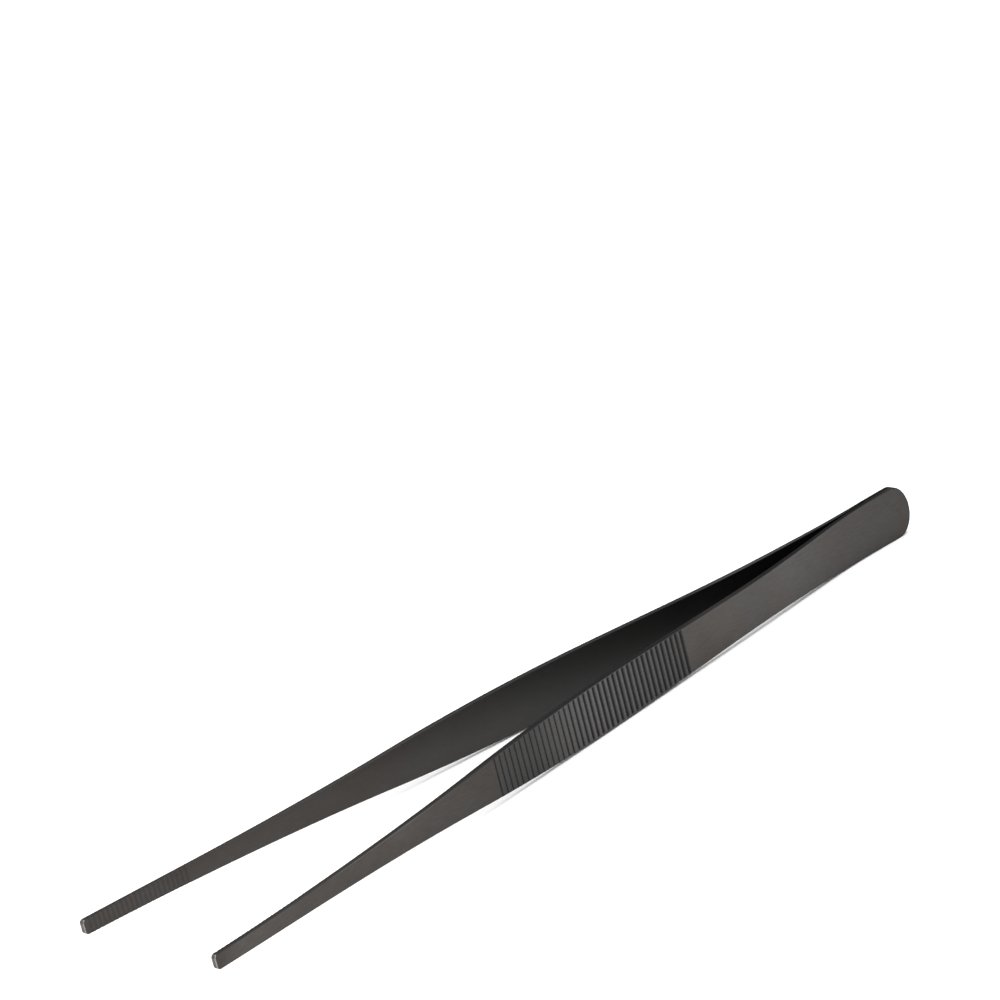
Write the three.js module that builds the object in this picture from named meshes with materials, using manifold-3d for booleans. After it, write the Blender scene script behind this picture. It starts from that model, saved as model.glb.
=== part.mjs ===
// Straight aquascaping tweezers: two tapered spring-steel blades, lap-welded together at the heel.
// Millimetres, +Z up. +X runs from the heel to the tips and +Y towards the left blade. The tweezers
// stand on the lower edges of their blades. The origin is on the ground, at the middle of the box.
// Every station below is a distance along the tweezers from the heel end.

import * as THREE from "three";
import { mergeVertices } from "three/addons/utils/BufferGeometryUtils.js";
import Module from "manifold-3d";

const LENGTH = 270;
const WELD_LENGTH = 14.5; // the blades lie flat on the weld this far
const WELD_THICKNESS = 0.3;
const FLEX_AT = 43; // middle of the stretch that bends when the blades are squeezed
const FLEX_GAP = 0.4; // saw-cut that lets each leg turn on its heel tab

// Plan view: slope of a blade away from the mid-plane, changing evenly between the stations.
const SPLAY = [
  { at: 0, slope: 0 },
  { at: WELD_LENGTH, slope: 0 },
  { at: 33, slope: 0.111 },
  { at: 239.5, slope: 0.098 },
  { at: LENGTH, slope: 0.066 },
];

// Sheet thickness: thinnest at the spring end, thickest under the grip.
const HEEL_THICKNESS = 1.22;
const GRIP_THICKNESS = 1.83;
const TIP_THICKNESS = 1.63;
const FULL_THICKNESS_AT = 70;
const TIP_THINNING_AT = 130;

// Side view: width of a blade, and how fast it widens, at the stations of its outline.
const WIDTHS = [
  { at: 5.5, width: 14.3, growth: 0 }, // heel, where its round end meets the sides
  { at: 16.5, width: 14.02, growth: -0.06 }, // throat
  { at: 62.5, width: 11.58, growth: 0 }, // neck
  { at: 123.5, width: 13.48, growth: 0 }, // grip
  { at: 175.5, width: 9.72, growth: -0.144 }, // shank
  { at: LENGTH, width: 3.94, growth: -0.006 }, // tip
];
const HEEL = WIDTHS[0];
const TIP_CORNER_RADIUS = 1;

// Grip: grooves across the outer face, broad at the heel side and narrow at the tip side.
const GRIP_GROOVES = { count: 39, first: 94.5, pitch: 1.948, depth: 0.3 };
const GRIP_MOUTH_WIDTHS = [1.3, 0.7]; // first and last groove
const GROOVE_FLOOR_SHARE = 0.45; // floor width as a share of the mouth width

// Jaw teeth: fine V-grooves across the inner face.
const JAW_GROOVES = { count: 22, first: 238.85, pitch: 1.392, depth: 0.22 };
const JAW_MOUTH_WIDTH = 0.9;

const PLAIN_STEP = 5; // spacing of outline points where nothing else sets it
const GROOVE_MARGIN = 0.5; // plain outline points stop this far short of the grooves
const SAME_POINT = 1e-4; // corners closer together than this are one
const CUTTER_REACH = 40; // the side outline is cut through this far to each side

const wasm = await Module();
wasm.setup();

// ---- formulas of the blade ----

// Distance of a blade's inner face from the joint plane: the splay added up along the blade.
function innerFace(at) {
  let offset = WELD_THICKNESS / 2;
  for (let i = 1; i < SPLAY.length && SPLAY[i - 1].at < at; i++) {
    const from = SPLAY[i - 1];
    const to = SPLAY[i];
    const run = Math.min(at, to.at) - from.at;
    const bend = (to.slope - from.slope) / (to.at - from.at);
    offset += run * (from.slope + 0.5 * bend * run);
  }
  return offset;
}

function thickness(at) {
  const thickened = THREE.MathUtils.smoothstep(at, WELD_LENGTH, FULL_THICKNESS_AT);
  const thinned = Math.max(0, (at - TIP_THINNING_AT) / (LENGTH - TIP_THINNING_AT));
  const grown = THREE.MathUtils.lerp(HEEL_THICKNESS, GRIP_THICKNESS, thickened);
  return grown + (TIP_THICKNESS - GRIP_THICKNESS) * thinned;
}

const outerFace = (at) => innerFace(at) + thickness(at);

// Half of a blade's width, on a smooth curve through the stations of WIDTHS.
function halfWidth(at) {
  const next = Math.max(1, WIDTHS.findIndex((station) => at <= station.at));
  const from = WIDTHS[next - 1];
  const to = WIDTHS[next];
  const span = to.at - from.at;
  const t = (at - from.at) / span;
  const s = 1 - t;
  const widths = s * s * (1 + 2 * t) * from.width + t * t * (1 + 2 * s) * to.width;
  const growths = span * t * s * (s * from.growth - t * to.growth);
  return (widths + growths) / 2;
}

function spacedStations(from, to) {
  const steps = Math.max(1, Math.round((to - from) / PLAIN_STEP));
  return Array.from({ length: steps + 1 }, (_, i) => THREE.MathUtils.lerp(from, to, i / steps));
}

// ---- outlines ----

// Corners of one groove, as distances along the blade and depths into the face.
function grooveCorners(centre, mouth, floor, depth) {
  return [
    { at: centre - mouth / 2, depth: 0 },
    { at: centre - floor / 2, depth },
    { at: centre + floor / 2, depth },
    { at: centre + mouth / 2, depth: 0 },
  ].filter((corner, i) => floor > 0 || i !== 2);
}

function groovesOf({ count, first, pitch, depth }, mouthWidths, floorShare) {
  return Array.from({ length: count }, (_, i) => {
    const mouth = THREE.MathUtils.lerp(...mouthWidths, i / (count - 1));
    return grooveCorners(first + i * pitch, mouth, mouth * floorShare, depth);
  }).flat();
}

// A face from one end to the other: plain stations outside the grooves, and the grooves' corners.
function faceCorners(from, to, grooves) {
  const cut = grooves.filter((corner) => corner.at > from && corner.at < to);
  const before = cut.length ? cut[0].at - GROOVE_MARGIN : to;
  const after = cut.length ? spacedStations(cut.at(-1).at + GROOVE_MARGIN, to) : [];
  const plain = [...spacedStations(from, before), ...after];
  const corners = [...plain.map((at) => ({ at, depth: 0 })), ...cut];
  return corners.sort((a, b) => a.at - b.at);
}

function planOutline(from, to) {
  const grip = groovesOf(GRIP_GROOVES, GRIP_MOUTH_WIDTHS, GROOVE_FLOOR_SHARE);
  const jaw = groovesOf(JAW_GROOVES, [JAW_MOUTH_WIDTH, JAW_MOUTH_WIDTH], 0);
  const inner = faceCorners(from, to, jaw).map(
    (corner) => new THREE.Vector2(corner.at, innerFace(corner.at) + corner.depth),
  );
  const outer = faceCorners(from, to, grip).map(
    (corner) => new THREE.Vector2(corner.at, outerFace(corner.at) - corner.depth),
  );
  return new THREE.Shape([...inner, ...outer.reverse()]);
}

// Side outline up to a station: round heel, curved edges, and round corners where it is the tip.
function sideOutline(to) {
  const half = HEEL.width / 2;
  const corner = to === LENGTH ? TIP_CORNER_RADIUS : 0;
  const edge = spacedStations(HEEL.at, to - corner).slice(1);
  const shape = new THREE.Shape();
  shape.moveTo(HEEL.at, half);
  shape.absellipse(HEEL.at, 0, HEEL.at, half, Math.PI / 2, 1.5 * Math.PI, false);
  edge.forEach((at) => shape.lineTo(at, -halfWidth(at)));
  if (corner > 0) {
    const end = halfWidth(to - corner);
    shape.absarc(to - corner, corner - end, corner, -Math.PI / 2, 0, false);
    shape.absarc(to - corner, end - corner, corner, 0, Math.PI / 2, false);
  }
  edge.reverse().forEach((at) => shape.lineTo(at, halfWidth(at)));
  return shape;
}

// ---- solids ----

function toSolid(geometry) {
  geometry.deleteAttribute("normal");
  geometry.deleteAttribute("uv");
  const merged = mergeVertices(geometry, SAME_POINT);
  const vertProperties = merged.attributes.position.array;
  const triVerts = new Uint32Array(merged.index.array);
  return new wasm.Manifold(new wasm.Mesh({ numProp: 3, vertProperties, triVerts }));
}

function toGeometry(solid) {
  const { vertProperties, triVerts } = solid.getMesh();
  const geometry = new THREE.BufferGeometry();
  geometry.setAttribute("position", new THREE.BufferAttribute(vertProperties, 3));
  geometry.setIndex(new THREE.BufferAttribute(triVerts, 1));
  geometry.computeVertexNormals();
  return geometry;
}

function extrude(shape, depth, curveSegments) {
  return new THREE.ExtrudeGeometry(shape, { depth, curveSegments, bevelEnabled: false });
}

// The side outline stood up in the XZ plane, centred on the joint plane.
function sideSolid(to, reach) {
  const heelSegments = 20;
  const geometry = extrude(sideOutline(to), 2 * reach, heelSegments);
  geometry.rotateX(Math.PI / 2);
  geometry.translate(0, reach, 0);
  return toSolid(geometry);
}

// The stretch of a left blade between two stations.
function bladeGeometry(from, to) {
  const sheet = extrude(planOutline(from, to), 2 * HEEL.width, 1);
  sheet.translate(0, 0, -HEEL.width);
  return toGeometry(toSolid(sheet).intersect(sideSolid(LENGTH, CUTTER_REACH)));
}

function weldGeometry() {
  return toGeometry(sideSolid(WELD_LENGTH, WELD_THICKNESS / 2));
}

// ---- materials ----

function coatedSteel(color) {
  return new THREE.MeshStandardMaterial({ color, roughness: 0.42, metalness: 0.85 });
}

// ---- assembly ----

const tweezers = new THREE.Group();
tweezers.position.set(-LENGTH / 2, 0, HEEL.width / 2);

function addPiece(name, geometry, material, mirrored = false) {
  const mesh = new THREE.Mesh(geometry, material);
  mesh.name = name;
  mesh.scale.y = mirrored ? -1 : 1;
  tweezers.add(mesh);
}

const tab = bladeGeometry(0, FLEX_AT - FLEX_GAP / 2);
const leg = bladeGeometry(FLEX_AT + FLEX_GAP / 2, LENGTH);
const blackCoating = coatedSteel(0x56534f);
const weldMetal = coatedSteel(0x3d3b39);

addPiece("left_heel_tab", tab, blackCoating);
addPiece("right_heel_tab", tab.clone(), blackCoating, true);
addPiece("heel_weld", weldGeometry(), weldMetal);
addPiece("left_leg", leg, blackCoating);
addPiece("right_leg", leg.clone(), blackCoating, true);

export default tweezers;
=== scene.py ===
# Looks of the aquascaping tweezers: each blade is one continuous sheet that bends at the flexure,
# with rounded edges, a ribbed grip and toothed jaws, in brushed steel with a worn black coating.
# Blade measures are in millimetres, along the blade from the heel end ("s") and across it ("z").

import math

import bpy
import numpy as np
from mathutils import Matrix, Vector
from mathutils.kdtree import KDTree


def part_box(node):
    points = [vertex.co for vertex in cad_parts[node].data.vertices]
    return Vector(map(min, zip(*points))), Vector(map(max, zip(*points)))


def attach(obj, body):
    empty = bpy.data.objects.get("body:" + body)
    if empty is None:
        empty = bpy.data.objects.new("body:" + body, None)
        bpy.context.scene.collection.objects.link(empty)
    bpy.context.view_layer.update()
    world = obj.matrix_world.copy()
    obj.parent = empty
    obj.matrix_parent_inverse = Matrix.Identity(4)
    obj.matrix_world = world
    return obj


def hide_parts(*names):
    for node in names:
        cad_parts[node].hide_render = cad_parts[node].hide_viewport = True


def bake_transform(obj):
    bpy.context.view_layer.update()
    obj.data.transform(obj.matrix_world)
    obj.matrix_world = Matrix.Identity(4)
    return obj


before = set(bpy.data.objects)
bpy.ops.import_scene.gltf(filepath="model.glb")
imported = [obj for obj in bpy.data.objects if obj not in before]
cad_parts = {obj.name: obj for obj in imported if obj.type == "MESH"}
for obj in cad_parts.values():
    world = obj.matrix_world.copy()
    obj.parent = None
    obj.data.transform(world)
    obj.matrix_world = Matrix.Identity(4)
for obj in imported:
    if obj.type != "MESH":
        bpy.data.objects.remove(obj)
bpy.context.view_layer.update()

MM = 0.001

# ---- what the frame fixes ----

TAB_LOW, TAB_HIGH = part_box("left_heel_tab")
LEG_LOW, LEG_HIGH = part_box("left_leg")
WELD_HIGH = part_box("heel_weld")[1]
HEEL_X = TAB_LOW.x
MIDDLE_Z = (TAB_LOW.z + TAB_HIGH.z) / 2
LENGTH = (LEG_HIGH.x - HEEL_X) / MM
WELD_LENGTH = (WELD_HIGH.x - HEEL_X) / MM
WELD_HALF_THICKNESS = WELD_HIGH.y / MM
HEEL_HALF_WIDTH = (TAB_HIGH.z - TAB_LOW.z) / 2 / MM

# ---- blade measures ----

# Slope of a blade away from the middle plane, changing evenly between these stations.
SPLAY_AT = [0, WELD_LENGTH, 33, 239.5, LENGTH]
SPLAY_SLOPE = [0, 0, 0.111, 0.098, 0.066]

HEEL_THICKNESS = 1.22
GRIP_THICKNESS = 1.83
TIP_THICKNESS = 1.63
FULL_THICKNESS_AT = 70
TIP_THINNING_AT = 130

# Half widths of a blade and how fast they grow, at heel, throat, neck, grip, shank and tip.
HEEL_ROUND_LENGTH = 5.5
WIDTH_AT = [HEEL_ROUND_LENGTH, 16.5, 62.5, 123.5, 175.5, LENGTH]
HALF_WIDTH = [HEEL_HALF_WIDTH, 7.01, 5.79, 6.74, 4.86, 1.97]
WIDTH_GROWTH = [0, -0.03, 0, 0, -0.072, -0.003]
TIP_CORNER_RADIUS = 1

OUTER_EDGE_RADIUS = 0.14
INNER_EDGE_RADIUS = 0.12
HEEL_EDGE_RADIUS = 0.42  # the outer edge is ground rounder where the blades are welded
HEEL_EDGE_FADES = (6, 24)

RIB_COUNT, RIB_FIRST, RIB_PITCH = 39, 94.5, 1.948
RIB_BROAD_MOUTH, RIB_NARROW_MOUTH = 1.9, 0.75
RIB_BROAD_DEPTH, RIB_NARROW_DEPTH = 0.34, 0.24
RIB_NARROWS = (125, 150)  # the broad grooves turn into narrow ones between these stations
RIB_FADE = (0.1, 0.45)  # distances from the edge where a groove starts and where it is full

TOOTH_COUNT, TOOTH_FIRST, TOOTH_PITCH = 22, 238.85, 1.392
TOOTH_DEPTH = 0.12
TOOTH_PAINTED_SHADE = 0.25  # how far a tooth groove goes towards the painted shade of the grip's grooves

# Painted light and shade at stations along the blade, on its two faces and on its sheared rim:
# multipliers of the coat's colour that stand in for the shaded insides near the heel and the dark
# reflection on the rims.
OUTER_PAINTED_LIGHT = {0: 0.76, 50: 1.18, 90: 0.97, 100: 1.17, 130: 1.62, 155: 0.78, 180: 0.82, 192: 0.84,
               205: 0.98, 225: 0.88, 262: 1.06, 269: 0.8}
INNER_PAINTED_SHADE = {50: 0.2, 80: 0.3, 100: 0.48, 140: 0.72, 200: 0.76, 258: 0.82}
LEFT_RIM_PAINTED_REFLECTION = {0: 0.6, 4: 0.45, 9: 0.1, 22: 0.1, 60: 0.16, 80: 0.4, 105: 0.15, 160: 0.25,
                  205: 0.45, 235: 0.6, 262: 0.5}
RIGHT_RIM_PAINTED_REFLECTION = {0: 0.4, 5: 0.02, 14: 0.02, 25: 0.5, 60: 0.9, 80: 0.4, 110: 0.5, 140: 0.46,
                   170: 0.64, 230: 0.7, 262: 0.6}

# A painted highlight: a thin lighter line just inside the outline, along the outer edge of the shank.
PAINTED_EDGE_GLINT_TONES = {178: 0, 200: 1.4, 220: 1.4, 236: 0}
PAINTED_EDGE_GLINT_AT, PAINTED_EDGE_GLINT_SPREAD = 0.12, 0.06

# Where the coat has a neutral tint and not a warm one: wholly on the grip and inside the spring
# end, and partly outside it.
OUTER_NEUTRAL = {0: 0.2, 20: 0.45, 68: 0.45, 78: 0, 91: 0, 96: 1, 166: 1, 171: 0}
INNER_NEUTRAL = {130: 1, 185: 0}

RIM_BAND = 0.12  # the rim's painted reflection and its wear fade out over this much of a face
HEEL_RIM_BAND = 0.25
NOISE_APART = 7  # keeps the noise of a blade's two faces apart

# ---- mesh spacing ----

# Across a blade: distances of the mesh columns from an edge, and the columns left for the middle.
EDGE_BANDS = [0, 0.012, 0.04, 0.09, 0.16, 0.25, 0.36, 0.5, 0.68, 0.88, 1.1, 1.4]
FULL_BANDS_AT = 1.8  # half width from which the edge bands keep their full size
INNER_COLUMNS = 12

# Along a blade: rows on the round ends, in each rib and tooth, and their spacing on plain stretches.
HEEL_ROWS, TIP_ROWS, RIB_ROWS, TOOTH_ROWS = 64, 12, 14, 10
FIRST_ROW_ANGLE = 0.004  # keeps the first row of the round heel from shrinking to a point
ROW_SPACING = 1.3
GAP_AFTER_HEEL, GAP_BEFORE_JAW = 0.8, 0.6

# Points that stand for the outline where distances from it are measured.
OUTLINE_START = 0.001
SIDE_POINTS, END_POINTS = 3000, 40


def smoothstep(low, high, x):
    t = np.clip((x - low) / (high - low), 0, 1)
    return t * t * (3 - 2 * t)


def inner_face(s):
    """Distance of the inner face from the middle plane: the splay added up along the blade."""
    offset = np.full_like(s, WELD_HALF_THICKNESS)
    for i in range(1, len(SPLAY_AT)):
        run = np.clip(s, SPLAY_AT[i - 1], SPLAY_AT[i]) - SPLAY_AT[i - 1]
        bend = (SPLAY_SLOPE[i] - SPLAY_SLOPE[i - 1]) / (SPLAY_AT[i] - SPLAY_AT[i - 1])
        offset += run * (SPLAY_SLOPE[i - 1] + bend * run / 2)
    return offset


def thickness(s):
    thickened = smoothstep(WELD_LENGTH, FULL_THICKNESS_AT, s)
    thinned = np.clip((s - TIP_THINNING_AT) / (LENGTH - TIP_THINNING_AT), 0, 1)
    grown = HEEL_THICKNESS + (GRIP_THICKNESS - HEEL_THICKNESS) * thickened
    return grown + (TIP_THICKNESS - GRIP_THICKNESS) * thinned


def half_width(s):
    """Half the blade's width, with its round heel end and its round tip corners."""
    widths = np.zeros_like(s)
    for i in range(1, len(WIDTH_AT)):
        span = WIDTH_AT[i] - WIDTH_AT[i - 1]
        t = (s - WIDTH_AT[i - 1]) / span
        u = 1 - t
        curve = u * u * (1 + 2 * t) * HALF_WIDTH[i - 1] + t * t * (1 + 2 * u) * HALF_WIDTH[i]
        curve += span * t * u * (u * WIDTH_GROWTH[i - 1] - t * WIDTH_GROWTH[i])
        widths = np.where((t >= 0) & (t <= 1), curve, widths)
    heel = np.clip(1 - s / HEEL_ROUND_LENGTH, 0, 1)
    widths = np.where(s < HEEL_ROUND_LENGTH, HEEL_HALF_WIDTH * np.sqrt(1 - heel**2), widths)
    corner = np.clip(s - (LENGTH - TIP_CORNER_RADIUS), 0, TIP_CORNER_RADIUS)
    return widths - TIP_CORNER_RADIUS + np.sqrt(TIP_CORNER_RADIUS**2 - corner**2)


def groove_depth(s):
    """Depth of the grip's grooves as a share of their full depth, and that full depth."""
    index = np.clip(np.round((s - RIB_FIRST) / RIB_PITCH), 0, RIB_COUNT - 1)
    away = np.abs(s - (RIB_FIRST + index * RIB_PITCH))
    narrowed = smoothstep(*RIB_NARROWS, s)
    mouth = RIB_BROAD_MOUTH + (RIB_NARROW_MOUTH - RIB_BROAD_MOUTH) * narrowed
    depth = RIB_BROAD_DEPTH + (RIB_NARROW_DEPTH - RIB_BROAD_DEPTH) * narrowed
    share = (1 + np.cos(2 * math.pi * np.clip(away / mouth, 0, 0.5))) / 2
    return share, depth


def tooth_depth(s):
    """Depth of the grooves between the jaw's teeth, as a share of their full depth."""
    index = np.clip(np.round((s - TOOTH_FIRST) / TOOTH_PITCH), 0, TOOTH_COUNT - 1)
    away = np.abs(s - (TOOTH_FIRST + index * TOOTH_PITCH)) / TOOTH_PITCH
    return (1 + np.cos(2 * math.pi * np.clip(away, 0, 0.5))) / 2


def tone_at(s, tones):
    return np.interp(s, list(tones), list(tones.values()))


def edge_drop(distance, radius):
    """How far a face falls back on its rounded edge, at a distance from the outline."""
    into = np.clip(radius - distance, 0, radius)
    return radius - np.sqrt(radius**2 - into**2)


# ---- blade mesh ----


def heel_stations(first_angle, count):
    """Stations on the round heel end, closest together at the very end."""
    return HEEL_ROUND_LENGTH * (1 - np.cos(np.linspace(first_angle, math.pi / 2, count)))


def row_stations():
    """Stations of the mesh rows: close together on round ends, grooves and teeth."""
    tip = LENGTH - TIP_CORNER_RADIUS * (1 - np.sin(np.linspace(0, math.pi / 2, TIP_ROWS)))
    grip_from, grip_to = RIB_FIRST - RIB_PITCH, RIB_FIRST + RIB_COUNT * RIB_PITCH
    jaw_from, jaw_to = TOOTH_FIRST - TOOTH_PITCH, TOOTH_FIRST + (TOOTH_COUNT - 0.5) * TOOTH_PITCH
    parts = [
        heel_stations(FIRST_ROW_ANGLE, HEEL_ROWS),
        np.arange(HEEL_ROUND_LENGTH + GAP_AFTER_HEEL, grip_from, ROW_SPACING),
        np.linspace(grip_from, grip_to, (RIB_COUNT + 1) * RIB_ROWS + 1),
        np.arange(grip_to + ROW_SPACING, jaw_from - GAP_BEFORE_JAW, ROW_SPACING),
        np.linspace(jaw_from, jaw_to, round((TOOTH_COUNT + 0.5) * TOOTH_ROWS) + 1),
        tip,
    ]
    return np.unique(np.concatenate(parts).round(5))


def column_places(half):
    """Places across a row: bands close to both edges, evenly spaced between them."""
    shrink = min(1.0, half / FULL_BANDS_AT)
    bands = half - np.array(EDGE_BANDS) * shrink
    middle = np.linspace(-bands[-1], bands[-1], INNER_COLUMNS)[1:-1]
    return np.concatenate([-bands, middle, bands[::-1]])


def outline_distances(s, z):
    """Distance of each point from the blade's outline."""
    even = np.linspace(OUTLINE_START, LENGTH, SIDE_POINTS)
    stations = np.unique(np.concatenate([row_stations(), even]))
    half = half_width(stations)
    outline = [(at, edge * side) for side in (-1, 1) for at, edge in zip(stations, half)]
    outline += [(LENGTH, place) for place in np.linspace(-half[-1], half[-1], END_POINTS)]
    tree = KDTree(len(outline))
    for i, (at, place) in enumerate(outline):
        tree.insert((at, place, 0), i)
    tree.balance()
    nearest = [tree.find((at, place, 0))[2] for at, place in zip(s.ravel(), z.ravel())]
    straight_across = np.abs(np.abs(z) - half_width(s))
    return np.minimum(np.array(nearest).reshape(s.shape), straight_across)


def grid_faces(rows, columns, first, flip):
    """Quads of a grid of vertices whose numbers start at first."""
    faces = []
    for i in range(rows - 1):
        for j in range(columns - 1):
            a = first + i * columns + j
            quad = (a, a + 1, a + columns + 1, a + columns)
            faces.append(quad[::-1] if flip else quad)
    return faces


def rim_faces(rows, columns, flip):
    """Quads that close the rim between the outer grid and the inner one behind it."""
    count = rows * columns
    top = [i * columns + columns - 1 for i in range(rows)]
    bottom = [i * columns for i in range(rows)]
    start = list(range(columns))
    end = [(rows - 1) * columns + j for j in range(columns)]
    ring = bottom[::-1] + start[1:] + top[1:] + end[-2:0:-1]
    faces = []
    for a, b in zip(ring, ring[1:] + ring[:1]):
        quad = (a, b, b + count, a + count)
        faces.append(quad[::-1] if flip else quad)
    return faces


def add_attribute(mesh, name, kind, values):
    attribute = mesh.attributes.new(name, kind, "POINT")
    key = "vector" if kind == "FLOAT_VECTOR" else "value"
    attribute.data.foreach_set(key, np.asarray(values, np.float32).ravel())


def rounder_heel(s, plain, at_heel):
    """A measure of the edge that is one value on the ground heel and another on the rest."""
    return at_heel + (plain - at_heel) * smoothstep(*HEEL_EDGE_FADES, s)


def face_offsets(s, distance):
    """How far the outer and the inner face lie from the middle plane."""
    ribs = np.prod(groove_depth(s), axis=0) * smoothstep(*RIB_FADE, distance)
    outer_radius = rounder_heel(s, OUTER_EDGE_RADIUS, HEEL_EDGE_RADIUS)
    outer = inner_face(s) + thickness(s) - ribs - edge_drop(distance, outer_radius)
    inner = inner_face(s) + tooth_depth(s) * TOOTH_DEPTH + edge_drop(distance, INNER_EDGE_RADIUS)
    return outer, inner


def add_coat_attributes(mesh, side, s, z, distance):
    """What the coat's material reads at each vertex, on the outer face and then on the inner one.

    "across" is 0 on the outer face and 1 on the inner one, and runs between them on the rim.
    """
    rim = np.clip(1 - distance / rounder_heel(s, RIM_BAND, HEEL_RIM_BAND), 0, 1)
    # Painted light and shade: each face's lit and shaded stretches, the rim's painted dark reflection
    # near the edge, and a painted highlight line inside the outer edge.
    rim_painted_reflection = tone_at(s, LEFT_RIM_PAINTED_REFLECTION if side > 0 else RIGHT_RIM_PAINTED_REFLECTION)
    groove = groove_depth(s)[0] * smoothstep(*RIB_FADE, distance)
    # The painted highlight line just inside the outer edge.
    painted_edge_glint = np.exp(-(((distance - PAINTED_EDGE_GLINT_AT) / PAINTED_EDGE_GLINT_SPREAD) ** 2))
    outer_painted_light = tone_at(s, OUTER_PAINTED_LIGHT) * (1 - rim) + rim_painted_reflection * rim
    outer_painted_light += tone_at(s, PAINTED_EDGE_GLINT_TONES) * painted_edge_glint
    inner_painted_light = tone_at(s, INNER_PAINTED_SHADE) * (1 - rim) + rim_painted_reflection * rim
    values = {
        "across": (np.zeros_like(s), np.ones_like(s)),
        # groove: how far the colour goes towards the grooves' painted shade; it also adds roughness.
        "groove": (groove, tooth_depth(s) * TOOTH_PAINTED_SHADE),
        "rim": (rim, rim),
        "tone": (outer_painted_light, inner_painted_light),
        "neutral": (tone_at(s, OUTER_NEUTRAL), tone_at(s, INNER_NEUTRAL)),
    }
    for name, faces in values.items():
        add_attribute(mesh, name, "FLOAT", np.concatenate([face.ravel() for face in faces]))
    for_noise = [np.full_like(s, layer * NOISE_APART + side) for layer in (0, 1)]
    places = [np.stack([s, z, layer], -1).reshape(-1, 3) for layer in for_noise]
    add_attribute(mesh, "place", "FLOAT_VECTOR", np.concatenate(places))


def make_blade(name, side):
    """A whole blade: outer and inner faces as grids over the outline, joined by a rim."""
    stations = row_stations()
    z = np.array([column_places(half) for half in half_width(stations)])
    s = np.repeat(stations[:, None], z.shape[1], axis=1)
    distance = outline_distances(s, z)
    points = [np.stack([HEEL_X + s * MM, side * y * MM, MIDDLE_Z + z * MM], -1)
              for y in face_offsets(s, distance)]
    vertices = np.concatenate([layer.reshape(-1, 3) for layer in points])
    rows, columns = s.shape
    flip = side > 0
    faces = grid_faces(rows, columns, 0, not flip)
    faces += grid_faces(rows, columns, rows * columns, flip)
    faces += rim_faces(rows, columns, flip)
    mesh = bpy.data.meshes.new(name)
    mesh.from_pydata(vertices.tolist(), [], faces)
    add_coat_attributes(mesh, side, s, z, distance)
    mesh.shade_smooth()
    blade = bpy.data.objects.new(name, mesh)
    bpy.context.scene.collection.objects.link(blade)
    return blade


# ---- weld ----

WELD_INSET = 0.1  # the ground weld lies this far inside the blades' outline
WELD_CROWN = 0.06
WELD_ROUND_ROWS, WELD_STRAIGHT_ROWS = 40, 8
WELD_FIRST_ANGLE = 0.15
WELD_GAP_AFTER_HEEL = 0.5

# Through the weld: shares of its half thickness, with the share of the crown at each.
WELD_LEVELS = {-1: 0, -0.6: 0.7, 0: 1, 0.6: 0.7, 1: 0}


def make_weld():
    """The fused layer between the heels, slightly crowned where it shows on the round rim."""
    round_end = heel_stations(WELD_FIRST_ANGLE, WELD_ROUND_ROWS)
    straight_from = HEEL_ROUND_LENGTH + WELD_GAP_AFTER_HEEL
    stations = np.concatenate([round_end, np.linspace(straight_from, WELD_LENGTH, WELD_STRAIGHT_ROWS)])
    half = half_width(stations) - WELD_INSET
    upper = np.stack([stations, half], -1)
    outline = np.concatenate([upper[::-1], upper * [1, -1]])
    vertices = []
    for level, crown in WELD_LEVELS.items():
        for s, z in outline:
            grown = 1 + crown * WELD_CROWN / max(abs(z), 1)  # moves no edge out past the crown
            x = HEEL_X + s * MM
            vertices.append((x, level * WELD_HALF_THICKNESS * MM, MIDDLE_Z + z * grown * MM))
    count = len(outline)
    last = len(vertices) - 1
    faces = [tuple(range(count)), tuple(range(last, last - count, -1))]
    for level in range(len(WELD_LEVELS) - 1):
        for j in range(count):
            a = level * count + j
            b = level * count + (j + 1) % count
            faces.append((a, a + count, b + count, b))
    mesh = bpy.data.meshes.new("weld_seam")
    mesh.from_pydata(vertices, [], faces)
    weld = bpy.data.objects.new("weld_seam", mesh)
    bpy.context.scene.collection.objects.link(weld)
    return weld


# ---- materials ----

BUMP_DISTANCE = 0.02 * MM
METALLIC = 0.9
EDGE_SHEEN = (0.58, 0.58, 0.58, 1)  # keeps down the mirror-like light at glancing angles


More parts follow.
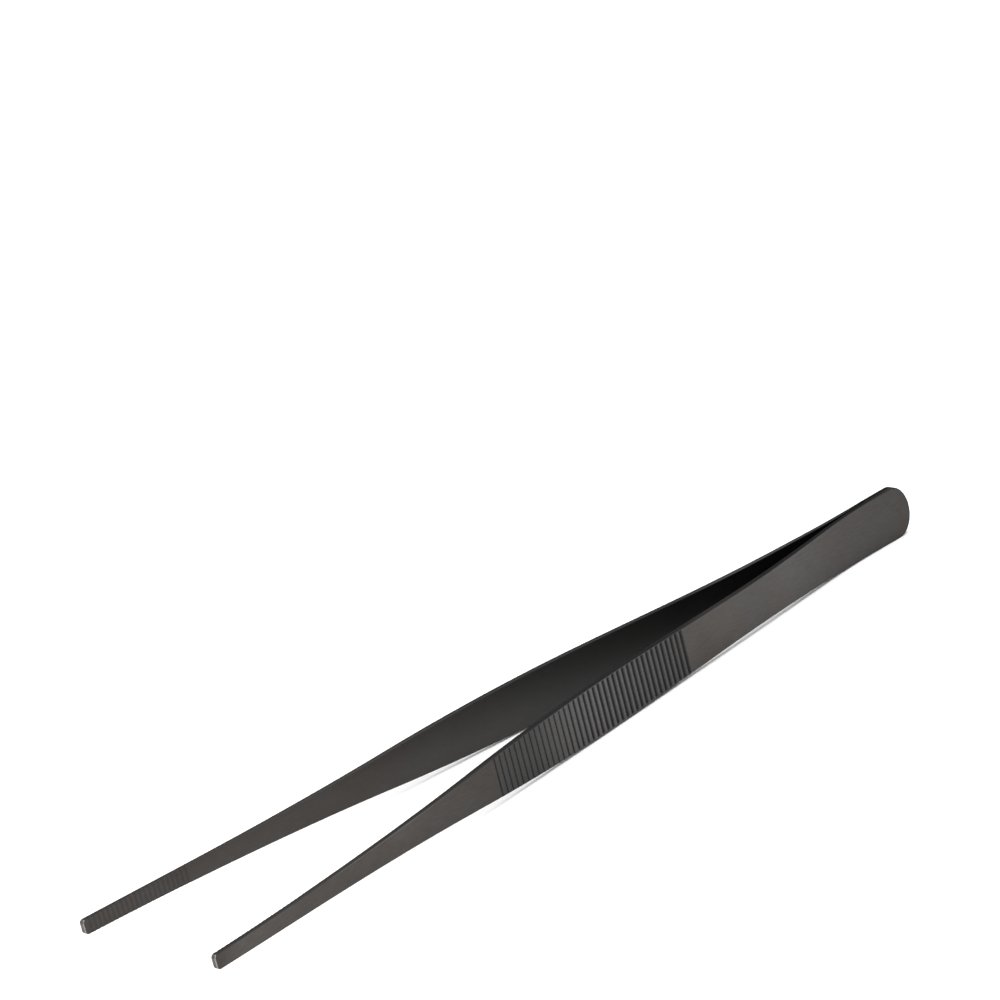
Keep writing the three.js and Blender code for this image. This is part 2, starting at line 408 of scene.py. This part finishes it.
class Nodes:
    """A material's node tree with short ways to add and link nodes."""

    def __init__(self, name):
        self.material = bpy.data.materials.new(name)
        self.material.use_nodes = True
        self.tree = self.material.node_tree
        self.shader = self.tree.nodes["Principled BSDF"]

    def make_metal(self):
        self.shader.inputs["Metallic"].default_value = METALLIC
        self.shader.inputs["Specular Tint"].default_value = EDGE_SHEEN

    def add(self, kind, **settings):
        node = self.tree.nodes.new(kind)
        for key, value in settings.items():
            setattr(node, key, value)
        return node

    def link(self, source, target):
        self.tree.links.new(source, target)

    def attribute(self, name, output="Fac"):
        return self.add("ShaderNodeAttribute", attribute_name=name).outputs[output]

    def noise(self, vector, stretch, detail, roughness):
        """Noise whose grains are drawn out by a different amount along each axis."""
        mapping = self.add("ShaderNodeMapping")
        self.link(vector, mapping.inputs["Vector"])
        mapping.inputs["Scale"].default_value = stretch
        noise = self.add("ShaderNodeTexNoise")
        self.link(mapping.outputs["Vector"], noise.inputs["Vector"])
        noise.inputs["Scale"].default_value = 1
        noise.inputs["Detail"].default_value = detail
        noise.inputs["Roughness"].default_value = roughness
        return noise.outputs["Fac"]

    def map_range(self, value, low, high, to_low, to_high):
        node = self.add("ShaderNodeMapRange")
        self.link(value, node.inputs["Value"])
        numbers = {"From Min": low, "From Max": high, "To Min": to_low, "To Max": to_high}
        for key, number in numbers.items():
            node.inputs[key].default_value = number
        return node.outputs["Result"]

    def math(self, operation, a, b):
        node = self.add("ShaderNodeMath", operation=operation)
        for socket, value in zip(node.inputs, (a, b)):
            if isinstance(value, (int, float)):
                socket.default_value = value
            else:
                self.link(value, socket)
        return node.outputs["Value"]

    def grey(self, value):
        node = self.add("ShaderNodeCombineColor")
        for channel in ("Red", "Green", "Blue"):
            self.link(value, node.inputs[channel])
        return node.outputs["Color"]

    def bump(self, height, strength):
        node = self.add("ShaderNodeBump")
        node.inputs["Strength"].default_value = strength
        node.inputs["Distance"].default_value = BUMP_DISTANCE
        self.link(height, node.inputs["Height"])
        self.link(node.outputs["Normal"], self.shader.inputs["Normal"])

    def mix(self, amount, a, b, blend="MIX"):
        node = self.add("ShaderNodeMix", data_type="RGBA", blend_type=blend)
        values = {"Factor": amount, "A": a, "B": b}
        for key, value in values.items():
            socket = next(i for i in node.inputs if i.name == key and i.enabled)
            if isinstance(value, bpy.types.NodeSocket):
                self.link(value, socket)
            else:
                socket.default_value = value
        return next(o for o in node.outputs if o.enabled)


WARM_COAT = (0.0655, 0.0583, 0.0540, 1)
COOL_COAT = (0.0700, 0.0650, 0.0617, 1)
NEUTRAL_COAT = (0.0635, 0.0620, 0.0612, 1)
# Painted shade: the colour the grooves of the grip and the jaw go towards in their bottoms.
GROOVE_PAINTED_SHADE = (0.0140, 0.0136, 0.0134, 1)
BARE_STEEL = (0.125, 0.115, 0.108, 1)
WORN_STEEL = (0.280, 0.256, 0.240, 1)
TIP_WEAR = 0.12  # length over which the coat gives way to bare steel at the tip end
RIM_WEAR = 0.7  # the same on the rim

# Noise frequencies per millimetre, along the blade and across it: brushing, grain and broad patches.
STREAKS = (0.3, 2.4, 1)
GRAIN = (2.6, 4.2, 1)
PATCHES = (0.045, 0.09, 1)
OUTER_BRUSHING, INNER_BRUSHING = 0.4, 0.15
GRAIN_STRENGTH = 0.12
TIP_RAGGEDNESS = 0.05
COAT_ROUGHNESS = (0.5, 0.4)  # in the dark streaks and in the light ones
GROOVE_ROUGHNESS = 0.1  # added in the grooves


def brushed_tone(n, place, across):
    """Lengthwise brushing, fainter on the inner face: a multiplier around 1, and its noises."""
    streaks = n.noise(place, STREAKS, detail=4, roughness=0.6)
    grain = n.noise(place, GRAIN, detail=2, roughness=0.6)
    strength = n.map_range(across, 0, 1, OUTER_BRUSHING, INNER_BRUSHING)
    swing = n.math("MULTIPLY", n.math("SUBTRACT", streaks, 0.5), strength)
    speckle = n.map_range(grain, 0.2, 0.8, -GRAIN_STRENGTH, GRAIN_STRENGTH)
    tone = n.math("ADD", n.math("ADD", swing, 1), speckle)
    return tone, streaks, grain


def coat_color(n, place, brushed, groove):
    """The coat's tint in broad patches, made lighter and darker by the brushing and by painted light
    and shade, with painted shade in the grooves.
    """
    patches = n.noise(place, PATCHES, detail=3, roughness=0.5)
    # The tone attribute holds the painted light, shade and reflection of each face and rim.
    tone = n.math("MULTIPLY", brushed, n.attribute("tone"))
    tint = n.mix(n.map_range(patches, 0.4, 0.6, 0, 1), WARM_COAT, COOL_COAT)
    tint = n.mix(n.attribute("neutral"), tint, NEUTRAL_COAT)
    return n.mix(groove, n.mix(1.0, tint, n.grey(tone), "MULTIPLY"), GROOVE_PAINTED_SHADE)


def bare_share(n, place, grain):
    """How far the coat is worn off: wholly on the tip end, with a ragged border."""
    split = n.add("ShaderNodeSeparateXYZ")
    n.link(place, split.inputs["Vector"])
    worn_rim = n.math("MULTIPLY", n.attribute("rim"), RIM_WEAR - TIP_WEAR)
    raggedness = n.map_range(grain, 0.2, 0.8, -TIP_RAGGEDNESS, TIP_RAGGEDNESS)
    ragged = n.math("ADD", n.math("ADD", split.outputs["X"], worn_rim), raggedness)
    return n.map_range(ragged, LENGTH - TIP_WEAR, LENGTH - TIP_WEAR / 2, 0, 1)


def black_coat():
    """Satin black coating over lengthwise brushing, worn off the tip ends."""
    n = Nodes("black_coated_steel")
    place = n.attribute("place", "Vector")
    across = n.attribute("across")
    groove = n.attribute("groove")
    brushed, streaks, grain = brushed_tone(n, place, across)

    # On the end face the steel is dull in the middle and rubbed bright towards both faces.
    from_middle = n.math("ABSOLUTE", n.math("SUBTRACT", across, 0.5), 0)
    steel = n.mix(n.map_range(from_middle, 0.3, 0.42, 0, 1), BARE_STEEL, WORN_STEEL)
    coat = coat_color(n, place, brushed, groove)
    n.link(n.mix(bare_share(n, place, grain), coat, steel), n.shader.inputs["Base Color"])

    brushed_roughness = n.map_range(streaks, 0.25, 0.75, *COAT_ROUGHNESS)
    rough = n.math("ADD", brushed_roughness, n.math("MULTIPLY", groove, GROOVE_ROUGHNESS))
    n.link(rough, n.shader.inputs["Roughness"])
    n.make_metal()

    height = n.math("ADD", n.math("MULTIPLY", streaks, 0.6), n.math("MULTIPLY", grain, 0.4))
    n.bump(height, 0.35)
    return n.material


WELD_DARK = (0.012, 0.011, 0.010, 1)
WELD_LIGHT = (0.024, 0.022, 0.021, 1)
WELD_ROUGHNESS = (0.4, 0.6)
GRINDING = (3000, 800, 3000)  # noise frequencies per metre


def weld_metal():
    """Darker coated weld, ground across the rim."""
    n = Nodes("weld_metal")
    place = n.add("ShaderNodeTexCoord").outputs["Object"]
    ground = n.noise(place, GRINDING, detail=4, roughness=0.6)
    color = n.mix(n.map_range(ground, 0.3, 0.7, 0, 1), WELD_DARK, WELD_LIGHT)
    n.link(color, n.shader.inputs["Base Color"])
    n.link(n.map_range(ground, 0.3, 0.7, *WELD_ROUGHNESS), n.shader.inputs["Roughness"])
    n.make_metal()
    n.bump(ground, 0.4)
    return n.material


# ---- assembly ----

coat_material = black_coat()
for hand, side in (("left", 1), ("right", -1)):
    blade = make_blade(f"{hand}_blade", side)
    blade.data.materials.append(coat_material)
    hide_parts(f"{hand}_heel_tab", f"{hand}_leg")
    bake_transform(blade)

weld = make_weld()
weld.data.materials.append(weld_metal())
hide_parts("heel_weld")
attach(weld, "heel")


# ---- stage ----

FLOOR_SIZE = 30
CAMERA_AIM = Vector((-0.0005, 0.00191, MIDDLE_Z + 0.05902))
CAMERA_AZIMUTH, CAMERA_ELEVATION, CAMERA_ROLL = 52.42, 19.04, -14.475
CAMERA_DISTANCE = 1.3285
CAMERA_LENS, CAMERA_SENSOR = 190.8, 36
KEY_PLACE, KEY_SIZE, KEY_POWER = (0.9, 1.4, 1.5), 1.6, 15
DOME_HORIZON, DOME_ZENITH = 0.3, 3.45
DOME_FALLOFF = 2.5  # how quickly the dome darkens away from its top


def make_floor():
    half = FLOOR_SIZE / 2
    corners = [(-half, -half, 0), (half, -half, 0), (half, half, 0), (-half, half, 0)]
    mesh = bpy.data.meshes.new("floor")
    mesh.from_pydata(corners, [], [(0, 1, 2, 3)])
    material = Nodes("pale_floor")
    material.shader.inputs["Base Color"].default_value = (0.9, 0.9, 0.9, 1)
    material.shader.inputs["Roughness"].default_value = 0.9
    mesh.materials.append(material.material)
    floor = bpy.data.objects.new("floor", mesh)
    bpy.context.scene.collection.objects.link(floor)


def make_camera():
    azimuth, elevation = math.radians(CAMERA_AZIMUTH), math.radians(CAMERA_ELEVATION)
    roll = math.radians(CAMERA_ROLL)
    level = math.cos(elevation)
    back = Vector((level * math.cos(azimuth), level * math.sin(azimuth), math.sin(elevation)))
    right = Vector((0, 0, 1)).cross(back).normalized()
    up = back.cross(right)
    tilted_right = right * math.cos(roll) + up * math.sin(roll)
    tilted_up = up * math.cos(roll) - right * math.sin(roll)
    turn = Matrix((tilted_right, tilted_up, back)).transposed().to_4x4()
    data = bpy.data.cameras.new("camera")
    data.lens = CAMERA_LENS
    data.sensor_width = CAMERA_SENSOR
    data.clip_start, data.clip_end = 0.01, 100
    camera = bpy.data.objects.new("camera", data)
    camera.matrix_world = Matrix.Translation(CAMERA_AIM + back * CAMERA_DISTANCE) @ turn
    bpy.context.scene.collection.objects.link(camera)
    bpy.context.scene.camera = camera


def make_softbox(name, place, size, power):
    data = bpy.data.lights.new(name, "AREA")
    data.shape = "DISK"
    data.size = size
    data.energy = power
    light = bpy.data.objects.new(name, data)
    light.location = place
    light.rotation_euler = (-Vector(place)).to_track_quat("-Z", "Y").to_euler()
    bpy.context.scene.collection.objects.link(light)


def make_dome(horizon, zenith):
    """A white studio dome, dim near the horizon and bright overhead."""
    world = bpy.data.worlds.new("dome")
    world.use_nodes = True
    nodes, links = world.node_tree.nodes, world.node_tree.links
    split = nodes.new("ShaderNodeSeparateXYZ")
    links.new(nodes.new("ShaderNodeTexCoord").outputs["Generated"], split.inputs["Vector"])
    height = nodes.new("ShaderNodeMath")
    height.operation = "POWER"
    height.use_clamp = True
    links.new(split.outputs["Z"], height.inputs[0])
    height.inputs[1].default_value = DOME_FALLOFF
    level = nodes.new("ShaderNodeMapRange")
    links.new(height.outputs["Value"], level.inputs["Value"])
    level.inputs["To Min"].default_value = horizon
    level.inputs["To Max"].default_value = zenith
    nodes["Background"].inputs["Color"].default_value = (1, 1, 1, 1)
    links.new(level.outputs["Result"], nodes["Background"].inputs["Strength"])
    bpy.context.scene.world = world


make_floor()
make_camera()
make_softbox("key_softbox", KEY_PLACE, KEY_SIZE, KEY_POWER)
make_dome(DOME_HORIZON, DOME_ZENITH)
bpy.context.scene.view_settings.view_transform = "Standard"
